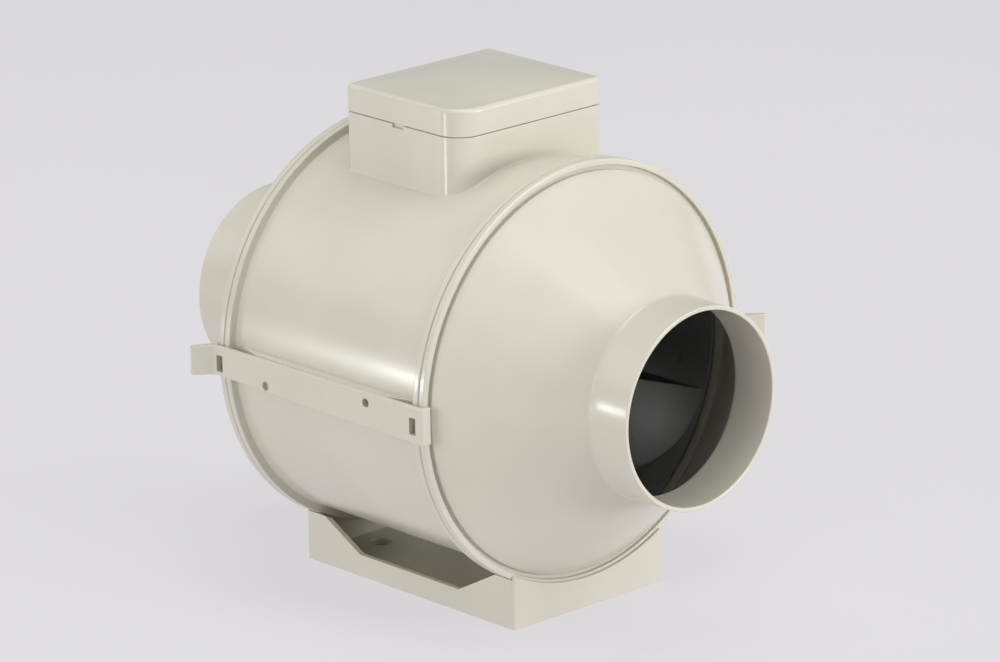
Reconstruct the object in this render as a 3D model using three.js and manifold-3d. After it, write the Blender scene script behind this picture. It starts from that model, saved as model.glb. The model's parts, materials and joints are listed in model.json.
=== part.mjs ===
// In-line mixed-flow extractor fan for a 100 mm duct.
// Millimetres, +Z up. The origin is the middle of the bracket's underside. The duct axis runs
// along Y at AXIS_HEIGHT: air enters at +Y, passes the impeller and the guide vanes, leaves at -Y.
import * as THREE from 'three';
import { mergeVertices } from 'three/addons/utils/BufferGeometryUtils.js';
import Module from 'manifold-3d';

const wasm = await Module();
wasm.setup();

// ---- Driving dimensions ------------------------------------------------------------------------
const AXIS_HEIGHT = 116;            // duct axis above the surface the bracket stands on
const HALF_LENGTH = 150;            // axis centre to each spigot's rim
const SPIGOT_RADIUS = 49;           // outside, for a 100 mm duct
const SPIGOT_END = 127;             // where the spigot meets its cone
const WALL = 2.2;                   // moulded wall of cones and spigots
const RING_RADIUS = 103;            // outer edge of the flanges
const RING_FACE = 72;               // outer face of a cone's flange
const FLANGE = 3.6;                 // thickness of one flange
const GAP = 0.3;                    // clearance kept between pieces that touch
const CASING_RADIUS = 98.5;
const CASING_BORE = 96.2;
const BOX_HALF_X = 46.5;            // terminal box, outside
const BOX_Y = [-37.5, 40.7];
const BOX_CORNERS = [3, 3, 13, 3];   // from the +X +Y corner, anticlockwise seen from above
const BOX_WALL = 2.3;
const BOX_SEAM = 115.7;             // joint of box and lid, above the axis
const LID_EDGE = 129.3;             // top edge of the lid, above the axis
const LID_CROWN = 1.8;
const LID_LIP = 2.2;                // depth of the lip inside the box
const BRACKET_HALF_X = 48.5;
const BRACKET_HALF_Y = 73.4;
const BRACKET_WALL = 2.6;
const BRACKET_FLOOR = 4;
const SADDLE_RADIUS = 101.3;        // lips at the bracket's ends hold the flanges between them
const CLAMP_INNER = 103.4;          // clamp plate's inner face, from the axis
const CLAMP_OUTER = 106;
const CLAMP_PROFILE = [[-78, -10.8], [85, -8.3], [85, 5.8], [-78, 7]];   // [y, z], narrower at its tab
const HUB_RADIUS = 48;              // motor cup that carries the guide vanes
const VANE_COUNT = 7;
const VANE_THICKNESS = 1.8;
const BLADE_COUNT = 7;
const BLADE_THICKNESS = 2.2;
const SHAFT_RADIUS = 4;

const LARGE = 48;                   // facets round the casing and cones
const MEDIUM = 24;
const SMALL = 14;
const TINY = 12;

// ---- Materials ---------------------------------------------------------------------------------
function material(colour, roughness, metalness = 0) {
  return new THREE.MeshStandardMaterial({ color: colour, roughness, metalness });
}
const SHELL = material(0xd9d6c8, 0.42);
const INNER_PLASTIC = material(0x8b8d8c, 0.5);
const DARK_PLASTIC = material(0x2b2c2d, 0.5);
const RUBBER = material(0x1d1d1e, 0.85);
const STEEL = material(0xb9bcc0, 0.35, 1);
const ZINC = material(0xc9ccd0, 0.4, 1);
const ALUMINIUM = material(0xb4b6b8, 0.45, 1);
const BRASS = material(0xc2a256, 0.35, 1);
const COPPER = material(0xb06a3c, 0.4, 1);
const WHITE_PLASTIC = material(0xe9e9e6, 0.45);

// ---- Solids ------------------------------------------------------------------------------------
// Turns a closed three.js geometry into a manifold solid with its faces pointing out.
function solid(geometry) {
  const bare = geometry.clone();
  bare.deleteAttribute('normal');
  bare.deleteAttribute('uv');
  const merged = mergeVertices(bare, 1e-4);
  const positions = merged.attributes.position.array;
  const triangles = [];
  for (let i = 0; i < merged.index.count; i += 3) {
    const [a, b, c] = [0, 1, 2].map((k) => merged.index.getX(i + k));
    if (a !== b && b !== c && c !== a) triangles.push([a, b, c]);
  }
  const point = (i) => new THREE.Vector3().fromArray(positions, 3 * i);
  let volume = 0;
  for (const [a, b, c] of triangles) volume += point(a).dot(point(b).cross(point(c)));
  const facingOut = volume > 0 ? triangles : triangles.map(([a, b, c]) => [a, c, b]);
  return new wasm.Manifold(new wasm.Mesh({
    numProp: 3,
    vertProperties: new Float32Array(positions),
    triVerts: new Uint32Array(facingOut.flat()),
  }));
}

function geometryOf(shape) {
  const mesh = shape.getMesh();
  const geometry = new THREE.BufferGeometry();
  geometry.setAttribute('position', new THREE.BufferAttribute(mesh.vertProperties, 3));
  geometry.setIndex(new THREE.BufferAttribute(mesh.triVerts, 1));
  geometry.computeVertexNormals();
  return geometry;
}

const group = new THREE.Group();
const axisGroup = new THREE.Group();          // everything placed from the duct axis
axisGroup.position.z = AXIS_HEIGHT;
group.add(axisGroup);

function addPart(name, shape, look, parent = axisGroup) {
  const geometry = shape.isBufferGeometry ? shape : geometryOf(shape);
  const mesh = new THREE.Mesh(geometry, look);
  mesh.name = name;
  parent.add(mesh);
  return mesh;
}

const union = (shapes) => shapes.reduce((all, next) => all.add(next));

function box(x0, x1, y0, y1, z0, z1) {
  const geometry = new THREE.BoxGeometry(x1 - x0, y1 - y0, z1 - z0);
  return solid(geometry.translate((x0 + x1) / 2, (y0 + y1) / 2, (z0 + z1) / 2));
}

// A cylinder along Y between two stations, with its axis at (x, z).
function rod(radius, y0, y1, { x = 0, z = 0, sides = TINY } = {}) {
  const geometry = new THREE.CylinderGeometry(radius, radius, y1 - y0, sides);
  return solid(geometry.translate(x, (y0 + y1) / 2, z));
}

// A cylinder along X or Z.
function rodX(radius, x0, x1, { y = 0, z = 0, sides = TINY } = {}) {
  const geometry = new THREE.CylinderGeometry(radius, radius, x1 - x0, sides).rotateZ(Math.PI / 2);
  return solid(geometry.translate((x0 + x1) / 2, y, z));
}

function rodZ(radius, z0, z1, { x = 0, y = 0, sides = TINY } = {}) {
  const geometry = new THREE.CylinderGeometry(radius, radius, z1 - z0, sides).rotateX(Math.PI / 2);
  return solid(geometry.translate(x, y, (z0 + z1) / 2));
}

// A body of revolution about Y from a closed outline of [radius, y] points.
function turned(outline, sides = MEDIUM) {
  const points = [...outline, outline[0]].map(([r, y]) => new THREE.Vector2(r, y));
  return solid(new THREE.LatheGeometry(points, sides));
}

const tube = (inner, outer, y0, y1, sides = MEDIUM) =>
  turned([[inner, y0], [outer, y0], [outer, y1], [inner, y1]], sides);

// An upright prism of a shape drawn in XY.
function prism(shape, z0, z1, curveSegments = 6) {
  const geometry = new THREE.ExtrudeGeometry(shape, { depth: z1 - z0, bevelEnabled: false, curveSegments });
  return solid(geometry.translate(0, 0, z0));
}

// The terminal box outline, pulled in by an inset, as an upright prism.
function boxPrism(inset, z0, z1) {
  const shape = new THREE.Shape();
  const x = BOX_HALF_X - inset;
  const [y0, y1] = [BOX_Y[0] + inset, BOX_Y[1] - inset];
  [[x, y1], [-x, y1], [-x, y0], [x, y0]].forEach(([cornerX, cornerY], i) => {
    const radius = Math.max(BOX_CORNERS[i] - inset, 0.5);
    const centreX = cornerX - Math.sign(cornerX) * radius;
    const centreY = cornerY - Math.sign(cornerY) * radius;
    shape.absarc(centreX, centreY, radius, i * Math.PI / 2, (i + 1) * Math.PI / 2);
  });
  return prism(shape, z0, z1);
}

// A prism along X of a polygon of [y, z] points.
function prismX(points, x0, x1) {
  const shape = new THREE.Shape(points.map(([y, z]) => new THREE.Vector2(y, z)));
  const geometry = new THREE.ExtrudeGeometry(shape, { depth: x1 - x0, bevelEnabled: false });
  geometry.rotateX(Math.PI / 2).rotateZ(Math.PI / 2);
  return solid(geometry.translate(x0, 0, 0));
}

// A closed loft through sections of four corners each, given as THREE.Vector3.
function loft(sections) {
  const positions = sections.flatMap((section) => section.flatMap((corner) => corner.toArray()));
  const index = [0, 1, 2, 0, 2, 3];
  const last = 4 * (sections.length - 1);
  index.push(last, last + 2, last + 1, last, last + 3, last + 2);
  for (let s = 0; s < sections.length - 1; s += 1) {
    for (let k = 0; k < 4; k += 1) {
      const a = 4 * s + k;
      const b = 4 * s + (k + 1) % 4;
      index.push(a, a + 4, b + 4, a, b + 4, b);
    }
  }
  const geometry = new THREE.BufferGeometry();
  geometry.setAttribute('position', new THREE.BufferAttribute(new Float32Array(positions), 3));
  geometry.setIndex(index);
  return solid(geometry);
}

// A point at a radius and an angle in degrees round the duct axis, 0 at +X and 90 at +Z.
function around(radius, degrees, y) {
  const angle = THREE.MathUtils.degToRad(degrees);
  return new THREE.Vector3(radius * Math.cos(angle), y, radius * Math.sin(angle));
}

// A curved blade: stations give [angle, y, root radius, tip radius], and the thickness lies
// square to the blade's path.
function blade(stations, thickness) {
  const sections = stations.map(([angle, y, root, tip], i) => {
    const before = stations[Math.max(i - 1, 0)];
    const after = stations[Math.min(i + 1, stations.length - 1)];
    const middle = (root + tip) / 2;
    const run = THREE.MathUtils.degToRad(after[0] - before[0]) * middle;
    const rise = after[1] - before[1];
    const length = Math.hypot(run, rise);
    const sideways = THREE.MathUtils.radToDeg((thickness / 2) * (rise / length) / middle);
    const along = (thickness / 2) * (run / length);
    return [
      around(root, angle - sideways, y + along), around(tip, angle - sideways, y + along),
      around(tip, angle + sideways, y - along), around(root, angle + sideways, y - along),
    ];
  });
  return loft(sections);
}

// Turns a solid about the duct axis, from +X towards +Z.
const turn = (shape, degrees) => shape.rotate([0, -degrees, 0]);

// ---- Cones with spigots ------------------------------------------------------------------------
const GROOVE_INNER = 97.6;
const GROOVE_OUTER = 99.9;
const GROOVE_DEPTH = 2.2;
const CONE_TOP = 50.2;              // cone radius where it blends into the spigot
const CONE_BLEND = 2;
const coneSlope = (GROOVE_INNER - CONE_TOP) / (SPIGOT_END - CONE_BLEND - RING_FACE);
const coneOuter = (y) => GROOVE_INNER - (y - RING_FACE) * coneSlope;
const coneInner = (y) => coneOuter(y) - WALL * Math.hypot(1, coneSlope);

function coneWithSpigot() {
  const matingFace = RING_FACE - FLANGE;
  return turned([
    [SPIGOT_RADIUS, HALF_LENGTH], [SPIGOT_RADIUS, SPIGOT_END], [CONE_TOP, SPIGOT_END - CONE_BLEND],
    [GROOVE_INNER, RING_FACE], [GROOVE_INNER, RING_FACE - GROOVE_DEPTH],
    [GROOVE_OUTER, RING_FACE - GROOVE_DEPTH], [GROOVE_OUTER, RING_FACE],
    [RING_RADIUS, RING_FACE], [RING_RADIUS, matingFace], [CASING_BORE, matingFace],
    [coneInner(RING_FACE), RING_FACE],
    [coneInner(SPIGOT_END - CONE_BLEND), SPIGOT_END - CONE_BLEND],
    [SPIGOT_RADIUS - WALL, SPIGOT_END - CONE_BLEND / 2], [SPIGOT_RADIUS - WALL, HALF_LENGTH],
  ], LARGE);
}
addPart('inlet_cone', coneWithSpigot(), SHELL);
addPart('outlet_cone', coneWithSpigot().rotate([0, 0, 180]), SHELL);

// ---- Casing with its terminal box --------------------------------------------------------------
const FLANGE_TOP = RING_FACE - FLANGE - GAP;           // casing flange's mating face
const SEAL_INNER = 98.4;
const SEAL_OUTER = 100.6;
const SEAL_DEPTH = 1;
const PAD_HALF_LENGTH = 62;           // the pads' ends ramp up from the casing
const PAD_RAMP = 17;
const PAD_Z = [-6.5, 6.5];
const CLAMP_HOLES = [[35, -6.3], [-35.8, 1.6]];           // [y, z] on the left clamp
const LEAD_Y = -5;                                     // motor lead's station on the axis
const GROMMET_HOLE = 5;
const LUG_FACE = -12;                                  // where the vane ring meets the casing lugs
const LUG_LENGTH = 9;
const LUG_RADIUS = 90.5;                               // screw circle
const GLAND_X = -20;
const GLAND_Z = 105.6;
const GLAND_THREAD = 6.5;
const BLOCK_Y = [-30, -16];
const BLOCK_Z = [100.4, 112];
const BLOCK_HALF_X = 22;

// Guide vane path: the angle from the trailing edge and the station on the axis. The vane ends
// nearly square to the flow at the outlet and turns towards the axis upstream.
const VANE_PATH = [[0, -60], [9, -60.3], [17, -57], [24, -50], [31, -41.5], [40, -31], [50, -19]];
const VANE_TRAILING = -19;                             // first vane's trailing edge, degrees
const VANE_PITCH = 360 / VANE_COUNT;
const vaneLeading = VANE_TRAILING - VANE_PATH.at(-1)[0];
const LUG_ANGLES = [0, 2, 5].map((gap) => vaneLeading + (gap + 0.5) * VANE_PITCH);

function casing() {
  const flange = FLANGE_TOP - FLANGE;
  const shell = turned([
    [CASING_BORE, -FLANGE_TOP], [SEAL_INNER, -FLANGE_TOP], [SEAL_INNER, -FLANGE_TOP + SEAL_DEPTH],
    [SEAL_OUTER, -FLANGE_TOP + SEAL_DEPTH], [SEAL_OUTER, -FLANGE_TOP], [RING_RADIUS, -FLANGE_TOP],
    [RING_RADIUS, -flange], [CASING_RADIUS, -flange], [CASING_RADIUS, flange], [RING_RADIUS, flange],
    [RING_RADIUS, FLANGE_TOP], [SEAL_OUTER, FLANGE_TOP], [SEAL_OUTER, FLANGE_TOP - SEAL_DEPTH],
    [SEAL_INNER, FLANGE_TOP - SEAL_DEPTH], [SEAL_INNER, FLANGE_TOP], [CASING_BORE, FLANGE_TOP],
  ], LARGE);
  const padDepth = CLAMP_INNER - GAP;
  const ramped = PAD_HALF_LENGTH - PAD_RAMP;
  const padRoot = CASING_BORE + 0.8;
  const padStart = CASING_RADIUS - 0.5;
  const padOutline = new THREE.Shape([
    [padRoot, -PAD_HALF_LENGTH], [padStart, -PAD_HALF_LENGTH], [padDepth, -ramped],
    [padDepth, ramped], [padStart, PAD_HALF_LENGTH], [padRoot, PAD_HALF_LENGTH],
  ].map(([x, y]) => new THREE.Vector2(x, y)));
  const pad = prism(padOutline, PAD_Z[0], PAD_Z[1]);
  const pads = [pad, pad.rotate([0, 0, 180])];
  const walls = boxPrism(0, 60, BOX_SEAM);
  const wiringSpace = boxPrism(BOX_WALL, 60, BOX_SEAM + 1)
    .subtract(rod(CASING_RADIUS, -60, 60, { sides: LARGE }));
  const posts = [-1, 1].map((side) => box(
    side * 18 - 3, side * 18 + 3, BLOCK_Y[0] + 3, BLOCK_Y[1] - 3, 90, BLOCK_Z[0] - GAP));
  const bore = rod(CASING_BORE, -60, 60, { sides: LARGE });
  let body = union([shell, ...pads, walls]).subtract(wiringSpace).add(union(posts)).subtract(bore);
  for (const angle of LUG_ANGLES) {
    const lug = box(87, 97.2, LUG_FACE, LUG_FACE + LUG_LENGTH, -4.5, 4.5)
      .subtract(rod(1.8, LUG_FACE - 1, LUG_FACE + LUG_LENGTH + 1, { x: LUG_RADIUS }));
    body = body.add(turn(lug, angle));
  }
  for (const side of [-1, 1]) {
    for (const [y, z] of CLAMP_HOLES) {
      const outer = side * (padDepth + 1);
      const inner = side * (padDepth - 4);
      body = body.subtract(rodX(1.6, Math.min(outer, inner), Math.max(outer, inner), { y: -side * y, z }));
    }
  }
  const gland = rod(GLAND_THREAD + GAP, BOX_Y[1] - 4, BOX_Y[1] + 1,
    { x: GLAND_X, z: GLAND_Z, sides: SMALL });
  const lead = rodZ(GROMMET_HOLE, 90, 102, { y: LEAD_Y, sides: SMALL });
  const notch = box(-BOX_HALF_X - 1, -BOX_HALF_X + 1.2, 0.5, 8, BOX_SEAM - 1.8, BOX_SEAM + 1);
  return body.subtract(gland).subtract(lead).subtract(notch);
}
addPart('casing', casing(), SHELL);

// Ring seals lie in a groove of each casing flange.
for (const [name, side] of [['outlet_seal', -1], ['inlet_seal', 1]]) {
  const faces = [side * (FLANGE_TOP - SEAL_DEPTH + GAP), side * FLANGE_TOP].sort((a, b) => a - b);
  addPart(name, tube(SEAL_INNER + GAP, SEAL_OUTER - GAP, ...faces, LARGE), RUBBER);
}

// ---- Terminal box lid --------------------------------------------------------------------------
function terminalBoxLid() {
  const base = BOX_SEAM + GAP;
  const crown = boxPrism(6, LID_EDGE - 4, LID_EDGE + LID_CROWN);
  const shoulder = boxPrism(1.6, LID_EDGE - 4, LID_EDGE + 0.6);
  const outside = union([boxPrism(0, base, LID_EDGE - 1), shoulder, crown]);
  const hollow = boxPrism(BOX_WALL + 2, base - 1, LID_EDGE - 2.4);
  const lip = boxPrism(BOX_WALL + GAP, base - LID_LIP, base + 1)
    .subtract(boxPrism(BOX_WALL + 2, base - LID_LIP - 1, base + 3));
  return outside.subtract(hollow).add(lip);
}
addPart('terminal_box_lid', terminalBoxLid(), SHELL);

// ---- Bracket -----------------------------------------------------------------------------------
const BRACKET_HOLES = [[-15, -57], [15, -57], [-15, 57], [15, 57]];

function bracket() {
  const floor = -AXIS_HEIGHT;
  const inX = BRACKET_HALF_X - BRACKET_WALL;
  const inY = BRACKET_HALF_Y - BRACKET_WALL;
  const tray = box(-BRACKET_HALF_X, BRACKET_HALF_X, -BRACKET_HALF_Y, BRACKET_HALF_Y, floor, -87)
    .subtract(box(-inX, inX, -inY, inY, floor + BRACKET_FLOOR, -80));
  const ringSeat = rod(RING_RADIUS + GAP, -RING_FACE - GAP, RING_FACE + GAP, { sides: LARGE });
  const saddle = rod(SADDLE_RADIUS, -BRACKET_HALF_Y - 1, BRACKET_HALF_Y + 1, { sides: LARGE });
  const windowOutline = [[-35, -105], [35, -105], [72, -85], [-72, -85]];
  let body = tray.subtract(ringSeat).subtract(saddle)
    .subtract(prismX(windowOutline, -BRACKET_HALF_X - 1, BRACKET_HALF_X + 1));
  for (const [x, y] of BRACKET_HOLES) {
    const top = floor + BRACKET_FLOOR;
    body = body.subtract(rodZ(2.6, floor - 1, top + 1, { x, y, sides: SMALL }))
      .subtract(rodZ(5.5, top - 1.6, top + 1, { x, y, sides: SMALL }));
  }
  return body;
}
addPart('base_bracket', bracket(), SHELL);

// ---- Snap clamps -------------------------------------------------------------------------------
// Drawn for the -X side, with the pull tab at +Y. The other clamp is the same piece turned round.
const HOOK_TIP = 100.7;
const HOOK_FACE = RING_FACE + GAP;
const HOOK_THICKNESS = 2.7;
const CLAMP_WINDOW = [65.8, 70.1, -6.6, 1.6];

function clamp() {
  const hookEnd = HOOK_FACE + HOOK_THICKNESS;
  const outline = [
    [-CLAMP_OUTER, -hookEnd], [-HOOK_TIP, -hookEnd], [-HOOK_TIP, -HOOK_FACE], [-CLAMP_INNER, -HOOK_FACE],
    [-CLAMP_INNER, HOOK_FACE], [-HOOK_TIP, HOOK_FACE], [-HOOK_TIP, hookEnd], [-CLAMP_INNER, hookEnd],
    [-113.4, 80.2], [-115.2, 78.4], [-CLAMP_OUTER, 71.2],
  ];
  const shape = new THREE.Shape(outline.map(([x, y]) => new THREE.Vector2(x, y)));
  let body = prism(shape, -15, 15).intersect(prismX(CLAMP_PROFILE, -120, -95));
  const [y0, y1, z0, z1] = CLAMP_WINDOW;
  for (const [a, b] of [[y0, y1], [-y1, -y0]]) {
    body = body.subtract(box(-CLAMP_OUTER - 1, -CLAMP_INNER + 1, a, b, z0, z1));
  }
  for (const [y, z] of CLAMP_HOLES) {
    body = body.subtract(rodX(2.3, -CLAMP_OUTER - 1, -CLAMP_INNER + 1, { y, z }));
  }
  return body;
}
addPart('clamp_left', clamp(), SHELL);
addPart('clamp_right', clamp().rotate([0, 0, 180]), SHELL);

// ---- Guide vanes and motor cup -----------------------------------------------------------------
const CUP_MOUTH = -3.5;
const CUP_FLOOR = -57.5;
const CUP_WALL = 2.4;
const RING_OUTER = 95.8;
const RING_INNER = 93.6;
const RING_START = -64;
const MOTOR_SCREW_RADIUS = 40.2;
const MOTOR_SCREW_ANGLES = [30, 150, 270];

function guideVaneHousing() {
  const inside = HUB_RADIUS - CUP_WALL;
  const cup = turned([
    [0, CUP_FLOOR], [0, CUP_FLOOR - 6], [24, CUP_FLOOR - 5], [40, CUP_FLOOR - 2.5],
    [HUB_RADIUS, CUP_FLOOR + 3], [HUB_RADIUS, CUP_MOUTH], [inside, CUP_MOUTH], [inside, CUP_FLOOR],
  ], MEDIUM);
  const ring = tube(RING_INNER, RING_OUTER, RING_START, LUG_FACE - GAP, LARGE);
  let body = cup.add(ring);
  for (let i = 0; i < VANE_COUNT; i += 1) {
    const stations = VANE_PATH.map(([swept, y]) => [
      VANE_TRAILING + i * VANE_PITCH - swept, y, HUB_RADIUS - 1, RING_INNER + 0.8]);
    body = body.add(blade(stations, VANE_THICKNESS));
  }
  for (const angle of LUG_ANGLES) {
    const ear = box(86.5, RING_INNER + 1, LUG_FACE - 6, LUG_FACE - GAP, -4.5, 4.5)
      .subtract(rod(1.9, LUG_FACE - 7, LUG_FACE + 1, { x: LUG_RADIUS }));
    body = body.add(turn(ear, angle));
  }
  for (const angle of MOTOR_SCREW_ANGLES) {
    const pilot = rod(1.8, CUP_FLOOR - 3, CUP_FLOOR + 1, { x: MOTOR_SCREW_RADIUS - 4 });
    body = body.subtract(turn(pilot, angle));
  }
  return body.subtract(box(-4, 4, LEAD_Y - 4, CUP_MOUTH + 1, 40, 50));
}
addPart('guide_vane_housing', guideVaneHousing(), INNER_PLASTIC);

// A screw along Y with its head at the -Y end.
function screw(headRadius, headLength, shankRadius, y0, y1) {
  return rod(headRadius, y0, y0 + headLength, { sides: TINY })
    .add(rod(shankRadius, y0 + headLength - 0.5, y1, { sides: 8 }));
}
LUG_ANGLES.forEach((angle, i) => {
  const head = LUG_FACE - 6 - GAP - 2;
  const place = around(LUG_RADIUS, angle, 0);
  const bolt = screw(2.9, 2, 1.5, head, LUG_FACE + LUG_LENGTH - 1);
  addPart(`housing_screw_${i + 1}`, bolt.translate(place.toArray()), ZINC);
});

// ---- Motor -------------------------------------------------------------------------------------
const MOTOR_RADIUS = 44.6;
const CORE_RADIUS = 36;
const CORE_BORE = 20.5;
const CORE_Y = [-44, -15];
const CAP_JOINT = -29.5;
const CAP_REAR = CUP_FLOOR + GAP;
const CAP_FRONT = 0;
const CAP_FLOOR = 2.6;
const BEARING_RADIUS = 11;
const BEARING_LENGTH = 6.5;
const SLOTS = 6;
const SLOT_RADIUS = 27.5;

// An end cap from its closed end to the joint, with a bearing seat standing inside it.
function endCap(closedEnd, joint) {
  const inward = Math.sign(joint - closedEnd);
  const floorTop = closedEnd + inward * CAP_FLOOR;
  const seat = floorTop + inward * (BEARING_LENGTH + GAP);
  return turned([
    [SHAFT_RADIUS + 1.5, closedEnd], [MOTOR_RADIUS, closedEnd], [MOTOR_RADIUS, joint],
    [CORE_RADIUS + GAP, joint], [CORE_RADIUS + GAP, floorTop], [BEARING_RADIUS + 3, floorTop],
    [BEARING_RADIUS + 3, seat], [BEARING_RADIUS + GAP, seat], [BEARING_RADIUS + GAP, floorTop],
    [SHAFT_RADIUS + 1.5, floorTop],
  ], MEDIUM);
}
const screwHoles = union(MOTOR_SCREW_ANGLES.map((angle) =>
  turn(rod(1.8, CUP_FLOOR - 1, 2, { x: MOTOR_SCREW_RADIUS }), angle)));
const leadSlot = box(-3.4, 3.4, LEAD_Y - 3.4, LEAD_Y + 3.4, 34, 46);
addPart('motor_rear_cap', endCap(CAP_REAR, CAP_JOINT - GAP).subtract(screwHoles), ALUMINIUM);
addPart('motor_front_cap', endCap(CAP_FRONT, CAP_JOINT).subtract(screwHoles).subtract(leadSlot), ALUMINIUM);

const slotRods = (radius, y0, y1) => union(Array.from({ length: SLOTS }, (_, i) =>
  turn(rod(radius, y0, y1, { x: SLOT_RADIUS, sides: 8 }), i * 360 / SLOTS)));
addPart('stator_core', tube(CORE_BORE, CORE_RADIUS, ...CORE_Y)
  .subtract(slotRods(3.3, CORE_Y[0] - 1, CORE_Y[1] + 1)), STEEL);
const rearTurns = tube(22, 33.5, CORE_Y[0] - 6, CORE_Y[0] - GAP, SMALL);
const frontTurns = tube(22, 33.5, CORE_Y[1] + GAP, CORE_Y[1] + 6, SMALL);
const slotTurns = slotRods(2.9, CORE_Y[0] - 2, CORE_Y[1] + 2);
addPart('stator_winding', union([rearTurns, frontTurns, slotTurns]), COPPER);

const rearBearing = CAP_REAR + CAP_FLOOR + GAP;
const frontBearing = CAP_FRONT - CAP_FLOOR - GAP - BEARING_LENGTH;
const bearingBore = SHAFT_RADIUS + GAP;
const bearing = (start) => tube(bearingBore, BEARING_RADIUS, start, start + BEARING_LENGTH, SMALL);
addPart('rear_bearing', bearing(rearBearing), STEEL);
addPart('front_bearing', bearing(frontBearing), STEEL);

MOTOR_SCREW_ANGLES.forEach((angle, i) => {
  const place = around(MOTOR_SCREW_RADIUS, angle, 0);
  const bolt = screw(3, 2.2, 1.5, 0, 2.2 - CUP_FLOOR - 0.5).rotate([180, 0, 0]);
  addPart(`motor_screw_${i + 1}`, bolt.translate([place.x, CAP_FRONT + GAP + 2.2, place.z]), ZINC);
});

// ---- Rotor, shaft and impeller -----------------------------------------------------------------
const SHAFT_Y = [-56.6, 90];
const ROTOR_Y = [-46, -11.5];
const BUSH_Y = [60, 82];
const BUSH_RADIUS = 6;
const NUT_Y = [83.8, 88.4];

addPart('motor_shaft', rod(SHAFT_RADIUS, ...SHAFT_Y, { sides: TINY }), STEEL);
addPart('motor_rotor', tube(bearingBore, CORE_BORE - 0.9, ...ROTOR_Y, SMALL), STEEL);
addPart('shaft_circlip', tube(bearingBore, 6.6, CAP_FRONT + 0.8, CAP_FRONT + 1.8, TINY), STEEL);
addPart('impeller_bush', tube(bearingBore, BUSH_RADIUS, ...BUSH_Y, TINY), BRASS);
addPart('impeller_washer', tube(bearingBore, 9, BUSH_Y[1] + GAP, NUT_Y[0] - GAP, SMALL), ZINC);
addPart('impeller_nut', rod(7.5, ...NUT_Y, { sides: 6 })
  .subtract(rod(bearingBore, NUT_Y[0] - 1, NUT_Y[1] + 1, { sides: TINY })), ZINC);

// Blade path: the angle from the leading edge, the station on the axis, and the two radii. The
// tips keep clear of the inlet cone's wall.
const TIP_CLEARANCE = 2.2;
const BLADE_PATH = [
  [0, 102, 24], [9, 92, 29], [19, 81, 35.5], [30, 69, 40], [41, 57, 43.6], [52, 46, 45.2],
];
const bladeTip = (y) => Math.min(coneInner(Math.max(y, RING_FACE)), CASING_BORE) - TIP_CLEARANCE;

function impeller() {
  const hub = turned([
    [BUSH_RADIUS + GAP, BUSH_Y[0]], [10.5, BUSH_Y[0]], [10.5, 73], [35.2, 73], [42.6, 52], [44.6, 38],
    [44.6, 10], [47, 10], [47, 38], [45.2, 52], [37.6, 77], [26, 98], [23.6, 96.6], [33.8, 76.4],
    [10.5, 76.4], [10.5, BUSH_Y[1]], [BUSH_RADIUS + GAP, BUSH_Y[1]],
  ], MEDIUM);
  let body = hub;
  for (let i = 0; i < BLADE_COUNT; i += 1) {
    const stations = BLADE_PATH.map(([swept, y, root]) => [
      i * 360 / BLADE_COUNT + swept, y, root, bladeTip(y + BLADE_THICKNESS)]);
    body = body.add(blade(stations, BLADE_THICKNESS));
  }
  return body;
}
addPart('impeller', impeller(), DARK_PLASTIC);

// ---- Terminal box contents ---------------------------------------------------------------------
const TERMINAL_XS = [-15, -5, 5, 15];

function terminalBlock() {
  let body = box(-BLOCK_HALF_X, BLOCK_HALF_X, ...BLOCK_Y, ...BLOCK_Z);
  const middle = (BLOCK_Y[0] + BLOCK_Y[1]) / 2;
  for (const x of TERMINAL_XS) {
    body = body.subtract(rodZ(1.8, BLOCK_Z[1] - 7, BLOCK_Z[1] + 1, { x, y: middle, sides: 8 }))
      .subtract(box(x - 2, x + 2, BLOCK_Y[0] - 1, BLOCK_Y[0] + 4, BLOCK_Z[0] + 2.5, BLOCK_Z[0] + 6.5));
  }
  for (const x of [-10, 0, 10]) {
    body = body.subtract(box(
      x - 0.6, x + 0.6, BLOCK_Y[0] - 1, BLOCK_Y[1] + 1, BLOCK_Z[1] - 3, BLOCK_Z[1] + 1));
  }
  return body;
}
addPart('terminal_block', terminalBlock(), WHITE_PLASTIC);
TERMINAL_XS.forEach((x, i) => {
  const y = (BLOCK_Y[0] + BLOCK_Y[1]) / 2;
  const head = rodZ(2.7, BLOCK_Z[1] + GAP, BLOCK_Z[1] + 2, { x, y });
  const shank = rodZ(1.5, BLOCK_Z[1] - 6, BLOCK_Z[1] + 1, { x, y, sides: 8 });
  addPart(`terminal_screw_${i + 1}`, head.add(shank), BRASS);
});

const CAPACITOR_X = [-9, 36];
const CAPACITOR_Y = 19;
const CAPACITOR_Z = 112.5;
const CAPACITOR_RADIUS = 11;

function capacitor() {
  const place = { y: CAPACITOR_Y, z: CAPACITOR_Z };
  const can = rodX(CAPACITOR_RADIUS, CAPACITOR_X[0] + 1.5, CAPACITOR_X[1] - 1.5, { ...place, sides: SMALL });
  const step = rodX(CAPACITOR_RADIUS - 1.5, ...CAPACITOR_X, { ...place, sides: SMALL });
  const tags = [-4, 4].map((dy) => box(
    CAPACITOR_X[0] - 5, CAPACITOR_X[0] + 1, CAPACITOR_Y + dy - 0.4, CAPACITOR_Y + dy + 0.4,
    CAPACITOR_Z - 3, CAPACITOR_Z + 3));
  return union([can, step, ...tags]);
}
addPart('capacitor', capacitor(), WHITE_PLASTIC);

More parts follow.
